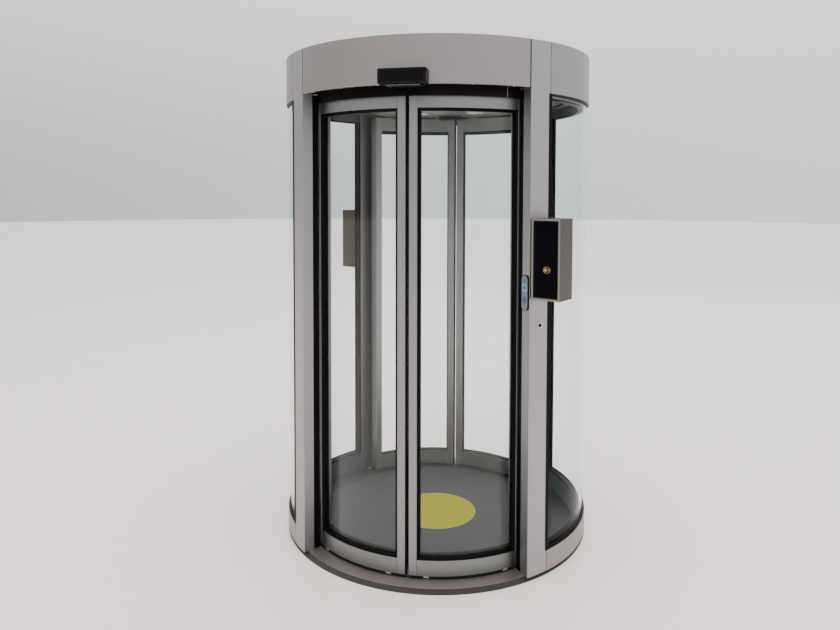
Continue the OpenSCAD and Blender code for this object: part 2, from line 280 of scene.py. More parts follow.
def cone(bm, radii, depth, matrix, segments):
    """A closed cone or cylinder, from its lower radius to its upper one."""
    bmesh.ops.create_cone(bm, cap_ends=True, segments=segments, radius1=radii[0],
                          radius2=radii[1], depth=depth, matrix=matrix)


def disc(radius, z0, z1, segments=160):
    """A round plate between two heights."""
    bm = bmesh.new()
    cone(bm, (radius, radius), z1 - z0, Matrix.Translation((0, 0, (z0 + z1) / 2)), segments)
    return bm


mat = disc(mat_r - mat_gap, mat_bed_z, floor_z)
round_edges(mat, 0.0012)
matting = Finish("mat_rubber", {"Specular IOR Level": 0.25})
wear = matting.place.noise(2.4, 6)
ribs = matting.place.add("TexWave", {"bands_direction": "X"},
                         {"Vector": matting.place, "Scale": rib_scale, "Distortion": 0.0})
speckle = matting.place.noise(420, 3)
# Round the standing disc a thin ring of the mat is painted near black: a painted shadow at the disc's
# edge.
outside_painted_shadow = matting.place.length().above(spot_r + shadow_ring_w, 0.0008)
mat_colour = (wear * 0.7 + speckle * 0.3).mix((0.040, 0.039, 0.040, 1), (0.065, 0.064, 0.065, 1))
mat_with_painted_shadow = outside_painted_shadow.mix((0.020, 0.018, 0.010, 1), mat_colour)
finish_piece("contact_mat", mat,
             matting.feed({"Base Color": mat_with_painted_shadow, "Roughness": 0.62 + wear * 0.2,
                           "Normal": (ribs * 0.8 + speckle * 0.2).bump(0.0006)}),
             "housing", "mat", "floor_mat")

spot = disc(spot_r, floor_z, spot_z)
round_edges(spot, 0.0004, 2)
marking = Finish("spot_yellow", {"Specular IOR Level": 0.06})
# The disc's outer edge is painted pale yellow all round: a painted highlight.
painted_highlight_rim = marking.place.length().above(spot_r - rim_w, 0.001)
grime = marking.place.noise(7, 5)
yellow = grime.mix((0.390, 0.342, 0.001, 1), (0.348, 0.327, 0.003, 1))
finish_piece("standing_mark", spot,
             marking.feed({"Base Color": painted_highlight_rim.mix(yellow, (0.47, 0.44, 0.12, 1)),
                           "Roughness": 0.38 + grime * 0.2,
                           "Normal": marking.place.noise(260, 3).bump(0.00015)}),
             "housing", "spot", "floor_spot")

# Posts: four closed aluminium sections that stand on the pan and carry the
# header. They are drawn, satin anodised and screwed up from below.
post_low, post_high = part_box("post_front_right")
portal_h = post_high.z
post_end = math.degrees(math.asin(post_high.x / outer_r))
post_inner_r = -post_high.y / math.cos(math.radians(post_end))
post_start = math.degrees(math.asin(post_low.x / post_inner_r))
post_middle = (post_start + post_end) / 2
side_end = 180 - post_end
quarters = {"front_right": Matrix.Identity(4), "front_left": Matrix.Scale(-1, 4, (1, 0, 0)),
            "rear_left": Matrix.Rotation(math.pi, 4, "Z"),
            "rear_right": Matrix.Scale(-1, 4, (0, 1, 0))}
sides = {"right": quarters["front_right"], "left": quarters["front_left"]}
fronts = {"front": quarters["front_right"], "rear": quarters["rear_left"]}
facet_degrees = 1.5


def at(radius, degrees, height):
    """The point at a radius and height, degrees counted from the front towards +X."""
    turn = math.radians(degrees)
    return radius * math.sin(turn), -radius * math.cos(turn), height


def sweep(bm, outline, start, end):
    """Sweeps an outline of (radius, height) corners about the portal's axis."""
    corners = [bm.verts.new(at(radius, start, height)) for radius, height in outline]
    face = bm.faces.new(corners)
    bmesh.ops.spin(bm, geom=[face, *face.edges, *corners], axis=(0, 0, 1), cent=(0, 0, 0),
                   angle=math.radians(end - start),
                   steps=max(1, round((end - start) / facet_degrees)))


def block(radii, heights):
    """The outline between two radii and two heights."""
    return [(radii[0], heights[0]), (radii[1], heights[0]),
            (radii[1], heights[1]), (radii[0], heights[1])]


def along(radius, start, end):
    """Points of a plan on an arc between two angles."""
    steps = max(1, math.ceil(abs(end - start) / facet_degrees))
    return [(radius, start + (end - start) * step / steps) for step in range(steps + 1)]


def raise_plan(bm, points, height):
    """A bar of that height on a level foot through these points."""
    foot = bm.faces.new([bm.verts.new(point) for point in points])
    top = bmesh.ops.extrude_face_region(bm, geom=[foot], use_keep_orig=True)
    verts = [part for part in top["geom"] if isinstance(part, bmesh.types.BMVert)]
    bmesh.ops.translate(bm, verts=verts, vec=(0, 0, height))


def upright(bm, plan, heights):
    """A bar between two heights whose plan has these (radius, degrees) corners."""
    raise_plan(bm, [at(radius, degrees, heights[0]) for radius, degrees in plan],
               heights[1] - heights[0])


def turned(bm, matrix):
    """Puts a bmesh drawn for the front or the right into another place."""
    bmesh.ops.transform(bm, verts=bm.verts, matrix=matrix)
    return bm


def anodised(name, grain, dark, light, inner_shade=None):
    """Satin anodised aluminium with a fine drawn grain, long where grain is small.

    Inner shade is the radius inside which a piece is painted darker as shade, and its two tones
    there.
    """
    metal = Finish(name, {"Metallic": 1.0})
    lines = metal.place.noise(1.0, 2, grain)
    drift = metal.place.noise(1.7, 4)
    handled = metal.place.noise(11, 5)
    colour = (drift * 0.75 + lines * 0.25).mix(dark, light)
    looks = {"Base Color": colour, "Roughness": 0.34 + handled * 0.1 + lines * 0.06,
             "Normal": lines.bump(0.00002)}
    if inner_shade:
        flat = metal.place.add("VectorMath", {"operation": "MULTIPLY"},
                               {0: metal.place, 1: (1, 1, 0)})
        outside_shade = flat.length().above(inner_shade[0], 0.001)
        looks["Base Color"] = outside_shade.mix(drift.mix(inner_shade[1], inner_shade[2]), colour)
        looks["Metallic"] = 0.4 + outside_shade * 0.6
    return metal.feed(looks)


upright_grain = (900, 900, 5)
level_grain = (5, 5, 900)
post_metal = anodised("post_metal", upright_grain, (0.312, 0.302, 0.307, 1), (0.378, 0.368, 0.373, 1))
for quarter, place in quarters.items():
    post = bmesh.new()
    sweep(post, block((post_inner_r, outer_r), (floor_z, portal_h)), post_start, post_end)
    round_edges(post, 0.0016)
    finish_piece("post_shell_" + quarter, turned(post, place), post_metal, "housing", "post",
                 "post_" + quarter)

# Side walls: a kick plinth and a side header of bent sheet, with a curved sheet
# of laminated glass held between them in channels and black rubber beads.
sheet = 0.003
cover_r = outer_r - sheet
wall_skin_r = post_inner_r - sheet
slot_radii = (0.7265, 0.7395)
wall_glass_radii = (0.727, 0.739)
channel_wall = 0.006
ring_deck = 0.008
plinth_in_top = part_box("side_plinth_right")[1].z
head_in_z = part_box("side_header_right")[0].z
bead_play = 0.0001
plinth_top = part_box("side_gaskets")[0].z
side_head_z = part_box("side_gaskets")[1].z + bead_play
wall_glass_low, wall_glass_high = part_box("side_glass")
seat_z, head_z = wall_glass_low.z, wall_glass_high.z
deck_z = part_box("track_ring")[1].z - ring_deck
roof_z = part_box("roof_cover")[0].z
lip_w = 0.017
cover_seam = 0.15
fascia_seam = 0.45
cover_tones = ((0.275, 0.256, 0.252, 1), (0.337, 0.318, 0.314, 1))
# The wall covers' inner skins are painted dark blue-grey: painted shade on the faces turned into the
# portal.
painted_inner_shade = (wall_skin_r + 0.003, (0.060, 0.070, 0.078, 1), (0.084, 0.096, 0.105, 1))
cover_metal = anodised("cover_metal", level_grain, *cover_tones)
wall_cover_metal_shaded_inside = anodised("wall_cover_metal_shaded_inside", level_grain, *cover_tones, painted_inner_shade)

plinth_section = [
    (outer_r, floor_z), (outer_r, plinth_top), (slot_radii[1], plinth_top),
    (slot_radii[1], seat_z), (slot_radii[0], seat_z), (slot_radii[0], plinth_in_top),
    (wall_skin_r, plinth_in_top), (wall_skin_r, floor_z), (post_inner_r, floor_z),
    (post_inner_r, plinth_in_top - sheet), (slot_radii[0] - channel_wall, plinth_in_top - sheet),
    (slot_radii[0] - channel_wall, seat_z - sheet), (slot_radii[1] + channel_wall, seat_z - sheet),
    (slot_radii[1] + channel_wall, plinth_top - sheet), (cover_r, plinth_top - sheet),
    (cover_r, floor_z)]
header_section = [
    (outer_r, portal_h), (outer_r, side_head_z), (slot_radii[1], side_head_z),
    (slot_radii[1], head_z), (slot_radii[0], head_z), (slot_radii[0], head_in_z),
    (wall_skin_r, head_in_z), (wall_skin_r, deck_z), (post_inner_r, deck_z),
    (post_inner_r, head_in_z + sheet), (slot_radii[0] - channel_wall, head_in_z + sheet),
    (slot_radii[0] - channel_wall, head_z + sheet), (slot_radii[1] + channel_wall, head_z + sheet),
    (slot_radii[1] + channel_wall, side_head_z + sheet), (cover_r, side_head_z + sheet),
    (cover_r, roof_z - sheet), (outer_r - lip_w, roof_z - sheet), (outer_r - lip_w, roof_z),
    (cover_r, roof_z), (cover_r, portal_h)]
for part, outline in (("side_plinth", plinth_section), ("side_header", header_section)):
    for side, place in sides.items():
        cover = bmesh.new()
        sweep(cover, outline, post_end + cover_seam, side_end - cover_seam)
        round_edges(cover, 0.0008, 2)
        finish_piece(part + "_cover_" + side, turned(cover, place), wall_cover_metal_shaded_inside,
                     "housing", "cover", part + "_" + side)


def clear_glass(name, tint, ior):
    """Clear glass that refracts what is behind it and lets the lamps' light through."""
    glass = Finish(name, {"Roughness": 0.0, "IOR": ior, "Transmission Weight": 1.0})
    film = glass.place.noise(3.0, 4)
    glass.feed({"Base Color": film.mix(tint, (0.985, 0.995, 0.99, 1))})
    tree = glass.place.tree
    lamp_ray = glass.place.add("LightPath", {}, {}, 1)
    passed = glass.place.add("BsdfTransparent", {}, {"Color": tint})
    shown = Wire(tree, glass.shader.outputs[0])
    both = glass.place.add("MixShader", {}, {0: lamp_ray, 1: shown, 2: passed})
    tree.links.new(both.socket, glass.output.inputs["Surface"])
    return glass.material


wall_glass = clear_glass("wall_glass", (0.865, 0.940, 0.905, 1), 1.06)
glass_end = 0.2
for side, place in sides.items():
    sheet_glass = bmesh.new()
    sweep(sheet_glass, block(wall_glass_radii, (seat_z, head_z)),
          post_end + glass_end, side_end - glass_end)
    round_edges(sheet_glass, 0.001, 1)
    finish_piece("curved_wall_glass_" + side, turned(sheet_glass, place), wall_glass,
                 "housing", "wall_glass", "side_glass")


def coated(name, constants, patches, dark, light, roughness, relief=None):
    """A plain finish in two tones that mottle together, rougher where it is lighter.

    Patches are the scale and the detail of the tones, roughness is its least and
    its spread, and a relief has the scale and the height of a fine texture.
    """
    finish = Finish(name, constants)
    mottle = finish.place.noise(*patches)
    looks = {"Base Color": mottle.mix(dark, light),
             "Roughness": roughness[0] + mottle * roughness[1]}
    if relief:
        looks["Normal"] = finish.place.noise(relief[0]).bump(relief[1])
    return finish.feed(looks)


black_rubber = coated("black_rubber", {"Specular IOR Level": 0.06}, (6, 3),
                      (0.0012, 0.0012, 0.0018, 1), (0.0030, 0.0030, 0.0038, 1),
                      (0.40, 0.1), (500, 0.00002))
side_span = 0.7
lap_span = 0.6
lip_radii = (outer_r + 0.0003, outer_r + 0.0015)
lip_lap = 0.001
bead_edge = 0.0015
bead_edge_r = outer_r - 0.001
bead_crests = (0.015, 0.008)
inner_bead_radii = (wall_skin_r + 0.002, slot_radii[0])
inner_bead_h = 0.008
inner_bead_ends = (post_end + 1, side_end - 1)
beside_reader = (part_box("card_readers")[0].z - bead_play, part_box("card_readers")[1].z + bead_play)


def bead_pair(bm, radii, heights, rises, angles):
    """The bead below and the bead above an opening, each as high as its rise."""
    sweep(bm, block(radii, (heights[0], heights[0] + rises[0])), *angles)
    sweep(bm, block(radii, (heights[1] - rises[1], heights[1])), *angles)


def bead_end(bm, end, inwards, heights, lapped=True):
    """An upright end of an outer bead. Its lip laps over the post, but not at a reader."""
    inner_end = end + inwards * side_span
    lap_end = end - inwards * lap_span
    face = along(outer_r - bead_play, end, inner_end)
    if lapped:
        face = [*along(lip_radii[0], end, lap_end), *along(lip_radii[1], lap_end, inner_end)]
    upright(bm, [(slot_radii[1], end), *face, (slot_radii[1], inner_end)], heights)


for side, place in (("right", quarters["front_right"]), ("left", quarters["rear_left"])):
    beads = bmesh.new()
    for shelf_z, rise, crest in ((plinth_top, bead_edge, bead_crests[0]),
                                 (side_head_z, -bead_edge, -bead_crests[1])):
        sweep(beads, [(slot_radii[1], shelf_z), (bead_edge_r, shelf_z),
                      (bead_edge_r, shelf_z + rise), (slot_radii[1], shelf_z + crest)],
              post_end + side_span, side_end - side_span)
    bead_pair(beads, inner_bead_radii, (plinth_in_top, head_in_z),
              (inner_bead_h, inner_bead_h), inner_bead_ends)
    bead_end(beads, post_end, 1, (plinth_top, beside_reader[0]))
    bead_end(beads, post_end, 1, (beside_reader[0] - lip_lap, beside_reader[1] + lip_lap), False)
    bead_end(beads, post_end, 1, (beside_reader[1], side_head_z))
    bead_end(beads, side_end, -1, (plinth_top, side_head_z))
    for end, inner_end in zip((post_end, side_end), inner_bead_ends):
        upright(beads, [(inner_bead_radii[0], end), (inner_bead_radii[1], end),
                        (inner_bead_radii[1], inner_end), (inner_bead_radii[0], inner_end)],
                (plinth_in_top, head_in_z))
    round_edges(beads, 0.0005, 2)
    finish_piece("wall_beads_" + side, turned(beads, place), black_rubber,
                 "housing", "rubber", "side_gaskets")

# Header: bent fascias over the doorways with gloss black panels behind them, a
# roof in two half discs, and inside it the welded ring of dark powder-coated
# steel that the leaves hang from.
door_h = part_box("fascia_front")[0].z
transom_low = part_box("transom_front")[0]
fascia_section = [
    (outer_r, portal_h), (outer_r, door_h), (outer_r - lip_w, door_h),
    (outer_r - lip_w, door_h + sheet), (cover_r, door_h + sheet), (cover_r, roof_z - sheet),
    (outer_r - lip_w, roof_z - sheet), (outer_r - lip_w, roof_z), (cover_r, roof_z),
    (cover_r, portal_h)]
fold_r = 0.0026


def lower_edge(edge):
    """True on the fold along a fascia's lower outer edge."""
    return all(abs(v.co.z - door_h) < 0.0001 and abs(v.co.xy.length - outer_r) < 0.0001
               for v in edge.verts)


for front, place in fronts.items():
    fascia = bmesh.new()
    sweep(fascia, fascia_section, fascia_seam - post_start, post_start - fascia_seam)
    round_edges(fascia, fold_r, 3, lower_edge)
    round_edges(fascia, 0.0007, 2)
    finish_piece("fascia_cover_" + front, turned(fascia, place), cover_metal,
                 "housing", "cover", "fascia_" + front)

gloss_black = coated("gloss_black_panel", {"Specular IOR Level": 0.05}, (5, 5),
                     (0.003, 0.003, 0.004, 1), (0.007, 0.007, 0.009, 1), (0.12, 0.16),
                     (30, 0.0002))
panel_radii = (0.668, 0.676)
joint_degrees = 36.7
joint_radii = (panel_radii[1] - 0.001, panel_radii[1] + 0.0008)
joint_w = 0.16
joint_metal = anodised("joint_metal", upright_grain, (0.42, 0.42, 0.43, 1), (0.52, 0.52, 0.53, 1))
for front, place in fronts.items():
    panel = bmesh.new()
    shelf_z = door_h + sheet
    sweep(panel, [(panel_radii[0], transom_low.z), (panel_radii[1], transom_low.z),
                  (panel_radii[1], shelf_z), (cover_r, shelf_z), (cover_r, shelf_z + sheet),
                  (panel_radii[0], shelf_z + sheet)], -post_start, post_start)
    round_edges(panel, 0.0006, 2)
    finish_piece("transom_panel_" + front, turned(panel, place), gloss_black,
                 "housing", "dark_trim", "transom_" + front)
    strips = bmesh.new()
    sweep(strips, block(joint_radii, (transom_low.z + 0.001, shelf_z)),
          joint_degrees - joint_w / 2, joint_degrees + joint_w / 2)
    finish_piece("transom_joints_" + front, turned(strips, place), joint_metal,
                 "housing", "dark_trim")

roof_seam = 0.0012
roof_play = 0.0006
for side, place in sides.items():
    half = disc(cover_r - roof_play, roof_z, roof_z + sheet, 240)
    bmesh.ops.bisect_plane(half, geom=[*half.verts, *half.edges, *half.faces],
                           plane_co=(roof_seam, 0, 0), plane_no=(1, 0, 0), clear_inner=True)
    bmesh.ops.contextual_create(half, geom=[edge for edge in half.edges if edge.is_boundary])
    round_edges(half, 0.0006, 2)
    finish_piece("roof_half_" + side, turned(half, place), cover_metal,
                 "housing", "cover", "roof_cover")


def refinish(node, material):
    """Gives a solid of the frame its own finish."""
    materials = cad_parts[node].data.materials
    materials.clear()
    materials.append(material)


refinish("track_ring", coated("track_steel", {"Specular IOR Level": 0.4}, (20, 6),
                              (0.030, 0.030, 0.033, 1), (0.055, 0.054, 0.055, 1),
                              (0.5, 0.2), (900, 0.00008)))

# Ceiling: a round painted panel with four flush lamps in trim rings, and a black
# presence sensor over the standing place.
ceiling_low, ceiling_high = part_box("ceiling_panel")
ceiling_r = ceiling_high.x
lamp_low, lamp_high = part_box("ceiling_lights")
lamp_r = 0.045
lamp_x, lamp_y = 0.150, 0.310
lamp_places = [(x, y) for x in (-lamp_x, lamp_x) for y in (-lamp_y, lamp_y)]
lamp_facets = 64
trim_w = 0.008
diffuser_r = lamp_r - 0.0115
diffuser_z = lamp_low.z + 0.0015
ceiling = disc(ceiling_r, ceiling_low.z, ceiling_high.z, 200)
round_edges(ceiling, 0.0008, 2)
# The ceiling paint is toned near black: painted shade on the canopy's underside.
shaded_ceiling_paint = coated("shaded_ceiling_paint", {"Specular IOR Level": 0.5}, (4, 4),
                       (0.046, 0.050, 0.045, 1), (0.066, 0.070, 0.063, 1), (0.25, 0.12),
                       (600, 0.00008))
finish_piece("ceiling_disc", ceiling, shaded_ceiling_paint, "housing", "ceiling", "ceiling_panel")

trims, diffusers = bmesh.new(), bmesh.new()
for x, y in lamp_places:
    centre = Matrix.Translation((x, y, (lamp_low.z + lamp_high.z) / 2))
    cone(trims, (lamp_r - 0.002, lamp_r), lamp_high.z - lamp_low.z, centre, lamp_facets)
    under = [face for face in trims.faces if face.normal.z < -0.9
             and (face.calc_center_median().xy - Vector((x, y))).length < lamp_r / 2]
    bmesh.ops.inset_individual(trims, faces=under, thickness=trim_w)
    bmesh.ops.inset_individual(trims, faces=under, thickness=0.0008, depth=-0.002)
    cone(diffusers, (diffuser_r, diffuser_r), 0.002, Matrix.Translation((x, y, diffuser_z)),
         lamp_facets)
round_edges(trims, 0.0004, 2)
# The white trims and the opal diffusers are toned mid grey: painted shade.
shaded_white_trim = Finish("lamp_trim", {"Roughness": 0.3})
finish_piece("lamp_trims", trims, shaded_white_trim.feed({
    "Base Color": shaded_white_trim.place.noise(30).mix((0.30, 0.31, 0.30, 1), (0.37, 0.38, 0.37, 1))}),
    "housing", "lamp", "ceiling_lights")
shaded_opal = Finish("lamp_diffuser", {"Roughness": 0.4, "Emission Strength": 0.12})
finish_piece("lamp_diffusers", diffusers, shaded_opal.feed({
    "Base Color": shaded_opal.place.noise(60).mix((0.34, 0.34, 0.32, 1), (0.40, 0.40, 0.38, 1)),
    "Emission Color": shaded_opal.place.noise(60).mix((1.0, 0.95, 0.86, 1), (1.0, 0.97, 0.90, 1))}),
    "housing", "lamp")


def rounded_box(bm, low, high, offset, segments=4, where=None):
    """A box between two corners with its edges rounded, added to a bmesh."""
    low, high = Vector(low), Vector(high)
    shape = bmesh.ops.create_cube(bm, size=1, matrix=Matrix.Translation((low + high) / 2)
                                  @ Matrix.Diagonal((*(high - low), 1)))
    edges = {edge for vert in shape["verts"] for edge in vert.link_edges
             if where is None or where(edge)}
    bmesh.ops.bevel(bm, geom=list(edges), offset=offset, segments=segments, profile=0.5,
                    affect="EDGES", material=-1, clamp_overlap=True)


sensor_black = coated("infrared_black", {"Specular IOR Level": 0.08}, (22, 5),
                      (0.004, 0.004, 0.005, 1), (0.009, 0.009, 0.011, 1), (0.18, 0.2))
sensor_low, sensor_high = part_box("overhead_sensor")
overhead = bmesh.new()
rounded_box(overhead, sensor_low, sensor_high, 0.004)
finish_piece("overhead_sensor_case", overhead, sensor_black, "housing", "sensor",
             "overhead_sensor")

# Leaves: each is a welded frame of two full-height stiles and two rails, with a
# curved sheet of laminated glass in black beads on both faces. A rubber lip on
# the meeting edge laps past the other leaf's, and a brush closes the gap below.
frame_low, frame_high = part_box("leaf_frame_front_right")
leaf_end = post_middle
leaf_r = frame_high.x / math.sin(math.radians(leaf_end))
leaf_inner_r = -frame_high.y / math.cos(math.radians(leaf_end))
leaf_start = math.degrees(math.asin(frame_low.x / leaf_inner_r))
leaf_z = (frame_low.z, frame_high.z)
bottom_rail = 0.068
glazed_top = 2.015
glazed_z = (leaf_z[0] + bottom_rail, glazed_top)
meeting_stile = 0.035
tail_stile = 0.044
inner_stile_w = 0.0367
inner_z = tuple(corner.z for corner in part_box("leaf_glass_front_right"))


def arc(width):
    """The angle of an arc of that width on a leaf's outer face, in degrees."""
    return math.degrees(width / leaf_r)


glazed_start = leaf_start + arc(meeting_stile)
glazed_end = leaf_end - arc(tail_stile)
inner_stile = math.degrees(inner_stile_w / leaf_inner_r)
inner_start = leaf_start + inner_stile
inner_end = leaf_end - inner_stile
leaf_glass_radii = (leaf_r - 0.030, leaf_r - 0.020)
bead_depth = 0.0025
reveal = 0.018
inside_bead_w = 0.008
inside_rises = (0.004, 0.008)
rail_play = 0.0004
hairline = arc(0.0002)
lip_t = 0.012
lip_play = 0.002
leaf_upright = anodised("leaf_upright_metal", upright_grain, (0.250, 0.252, 0.258, 1),
                        (0.308, 0.310, 0.316, 1))
leaf_level = anodised("leaf_rail_metal", level_grain, (0.224, 0.236, 0.230, 1),
                      (0.274, 0.286, 0.280, 1))
leaf_glass = clear_glass("leaf_glass", (0.94, 0.97, 0.955, 1), 1.3)


def sloped_bead(bm, radius, glass_radius):
    """A rubber bead round the outer opening, sloping from the frame down to the glass."""
    ends = [bm.verts.new(at(radius, glazed_start, z)) for z in glazed_z]
    edge = bm.edges.new(ends)
    bmesh.ops.spin(bm, geom=[edge, *ends], axis=(0, 0, 1), cent=(0, 0, 0),
                   angle=math.radians(glazed_end - glazed_start), steps=30)
    skin = bm.faces[:]
    if skin[0].normal.dot(skin[0].calc_center_median() * Vector((1, 1, 0))) < 0:
        bmesh.ops.reverse_faces(bm, faces=skin)
    drop = radius - glass_radius
    rings = []
    for thickness, depth in ((0.0030, 0.0), (0.0072, -drop * 0.55), (0.0018, -0.0006),
                             (0.0010, -drop * 0.45 + 0.0006)):
        rings += bmesh.ops.inset_region(bm, faces=skin, thickness=thickness, depth=depth,
                                        use_boundary=True, use_even_offset=True)["faces"]
    bmesh.ops.delete(bm, geom=skin, context="FACES")
    bmesh.ops.solidify(bm, geom=rings, thickness=0.0025)


for quarter, place in quarters.items():
    body = "leaf_" + quarter
    stiles = bmesh.new()
    for end, outer_edge, inner_edge in ((leaf_start, glazed_start, inner_start),
                                        (leaf_end, glazed_end, inner_end)):
        upright(stiles, [*along(leaf_inner_r, end, inner_edge),
                         (leaf_glass_radii[1], inner_edge), (leaf_glass_radii[1], outer_edge),
                         *along(leaf_r, outer_edge, end)], leaf_z)
    round_edges(stiles, 0.0018)
    finish_piece("leaf_stiles_" + quarter, turned(stiles, place), leaf_upright, body, "leaf",
                 "leaf_frame_" + quarter)
    rails = bmesh.new()
    for outer_rail, inner_rail in (((leaf_z[0], glazed_z[0]), (leaf_z[0], inner_z[0])),
                                   ((glazed_z[1], leaf_z[1]), (inner_z[1], leaf_z[1]))):
        sweep(rails, block((leaf_glass_radii[1], leaf_r - rail_play), outer_rail),
              glazed_start + hairline, glazed_end - hairline)
        sweep(rails, block((leaf_inner_r + rail_play, leaf_glass_radii[1] - 0.0002), inner_rail),
              inner_start + hairline, inner_end - hairline)
    round_edges(rails, 0.0012)
    finish_piece("leaf_rails_" + quarter, turned(rails, place), leaf_level, body, "leaf",
                 "leaf_frame_" + quarter)
    pane = bmesh.new()
    sweep(pane, block(leaf_glass_radii, inner_z), inner_start, inner_end)
    round_edges(pane, 0.0008, 1)
    finish_piece("leaf_pane_" + quarter, turned(pane, place), leaf_glass, body, "leaf_glass",
                 "leaf_glass_" + quarter)
    seals = bmesh.new()
    sloped_bead(seals, leaf_r - bead_depth, leaf_glass_radii[1])
    inside = bmesh.new()
    bead_pair(inside, (leaf_inner_r + 0.004, leaf_glass_radii[0]), inner_z, inside_rises,
              (inner_start, inner_end))
    side_block = block((leaf_inner_r + reveal, leaf_glass_radii[0]),
                       (inner_z[0] + inside_rises[0], inner_z[1] - inside_rises[1]))
    sweep(inside, side_block, inner_start, inner_start + arc(inside_bead_w))
    sweep(inside, side_block, inner_end - arc(inside_bead_w), inner_end)
    round_edges(inside, 0.0012, 2)
    lip = bmesh.new()
    outside_lip = quarter in ("front_left", "rear_right")
    lip_r = leaf_r - 0.014 if outside_lip else leaf_inner_r + 0.002
    lip_z = (leaf_z[0] + lip_play, leaf_z[1] - lip_play)
    sweep(lip, block((lip_r, lip_r + lip_t), lip_z), -arc(0.0008), leaf_start)
    round_edges(lip, 0.003)
    sweep(lip, block((leaf_inner_r + 0.003, leaf_r - 0.0028), lip_z),
          leaf_start - arc(0.0016), leaf_start)
    for part, seal in (("glazing_bead_outside_", seals), ("glazing_bead_inside_", inside),
                       ("meeting_seal_", lip)):
        finish_piece(part + quarter, turned(seal, place), black_rubber, body, "rubber",
                     "leaf_seals_" + quarter)

bristle = Finish("brush_bristle", {"Roughness": 0.9, "Specular IOR Level": 0.1})
strands = bristle.place.noise(1.0, 1, (2500, 2500, 30))
brush_black = bristle.feed({
    "Base Color": strands.mix((0.004, 0.004, 0.004, 1), (0.018, 0.018, 0.018, 1)),
    "Normal": strands.bump(0.0006)})
brush_radii = (leaf_r - 0.010, leaf_r - 0.003)
brush_foot = floor_z + 0.0015
for quarter, place in quarters.items():
    brush = bmesh.new()
    sweep(brush, block(brush_radii, (brush_foot, leaf_z[0])), leaf_start, leaf_end - 0.2)
    finish_piece("sill_brush_" + quarter, turned(brush, place), brush_black, "leaf_" + quarter,
                 "rubber")

runner_plastic = coated("runner_plastic", {"Specular IOR Level": 0.4}, (40, 4),
                        (0.24, 0.24, 0.24, 1), (0.32, 0.32, 0.32, 1), (0.4, 0.2))
for quarter in quarters:
    refinish("leaf_runners_" + quarter, runner_plastic)

# Jamb seals: black rubber fins in grooves on the posts' inner faces, which the
# leaves slide behind.
seal_low, seal_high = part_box("jamb_seals")
seal_start = post_start + 0.6
seal_span = 1.6
seal_nose_r = leaf_r + 0.006
for quarter, place in quarters.items():
    fin = bmesh.new()
    sweep(fin, block((seal_nose_r, post_inner_r), (seal_low.z, seal_high.z)),
          seal_start, seal_start + seal_span)
    round_edges(fin, 0.003)
    finish_piece("jamb_fin_" + quarter, turned(fin, place), black_rubber, "housing", "rubber",
                 "jamb_seals")

# Cover joints: narrow black strips in the gaps between the posts and the covers
# that butt against them, in the header and in the plinths; they are painted shade in these gaps.
strip_radii = (outer_r - 0.008, outer_r - 0.0015)
strip_top = portal_h - 0.001
for quarter, place in quarters.items():
    gap_shade_strips = bmesh.new()
    sweep(gap_shade_strips, block(strip_radii, (door_h, strip_top)), post_start - fascia_seam, post_start)
    sweep(gap_shade_strips, block(strip_radii, (side_head_z, strip_top)), post_end, post_end + cover_seam)
    sweep(gap_shade_strips, block(strip_radii, (floor_z, plinth_top)), post_end, post_end + cover_seam)
    finish_piece("joint_strips_" + quarter, turned(gap_shade_strips, place), black_rubber, "housing",
                 "rubber")

# Header sensors: moulded black cases screwed on the fascias over both doorways,
# with a gloss infrared window in front and an aiming foot below; a thin bright
# metal strip under the foot is a painted highlight on its lower edge.
case_low, case_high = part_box("header_sensors")
case_w = 0.200
case_x = (case_high.x - case_w, case_high.x)
window_margin = 0.012
skin_gap = 0.0002


def against_portal(bm, corners, first, last, heights):
    """A block whose footprint runs round corners and back along the portal's outside."""
    steps = 8
    outline = [(*corner, heights[0]) for corner in corners]
    for step in range(steps + 1):
        degrees = first + (last - first) * step / steps
        outline.append(at(outer_r + skin_gap, degrees, heights[0]))
    raise_plan(bm, outline, heights[1] - heights[0])
    bmesh.ops.recalc_face_normals(bm, faces=bm.faces)


def bearing(x):
    """The angle at which the portal's front outside is at that x."""
    return math.degrees(math.asin(x / outer_r))


for front, place in fronts.items():
    case = bmesh.new()
    against_portal(case, [(case_x[0], case_low.y), (case_x[1], case_low.y)],
                   bearing(case_x[1]), bearing(case_x[0]), (case_low.z, case_high.z))
    round_edges(case, 0.006, 4)
    finish_piece("header_sensor_case_" + front, turned(case, place), sensor_black, "housing",
                 "sensor", "header_sensors")

    for part, low, high, edge_r, material in (
            ("window", (case_x[0] + window_margin, case_low.y - 0.0008, case_low.z + 0.010),
             (case_x[1] - window_margin, case_low.y + 0.002, case_high.z - 0.007),
             0.0007, gloss_black),
            ("foot", (case_x[0] + 0.030, case_low.y + 0.010, case_low.z - 0.007),
             (case_x[1] - 0.020, 0.004 - outer_r, case_low.z + 0.002), 0.002, sensor_black),
            # This bright metal strip under the foot is a painted highlight on the foot's lower edge.
            ("trim", (case_x[0] + 0.036, case_low.y + 0.009, case_low.z - 0.0049),
             (case_x[1] - 0.026, case_low.y + 0.012, case_low.z - 0.0037),
             0.0006, joint_metal)):
        fitting = bmesh.new()
        rounded_box(fitting, low, high, edge_r, 2)
        finish_piece(f"header_sensor_{part}_{front}", turned(fitting, place), material,
                     "housing", "sensor")

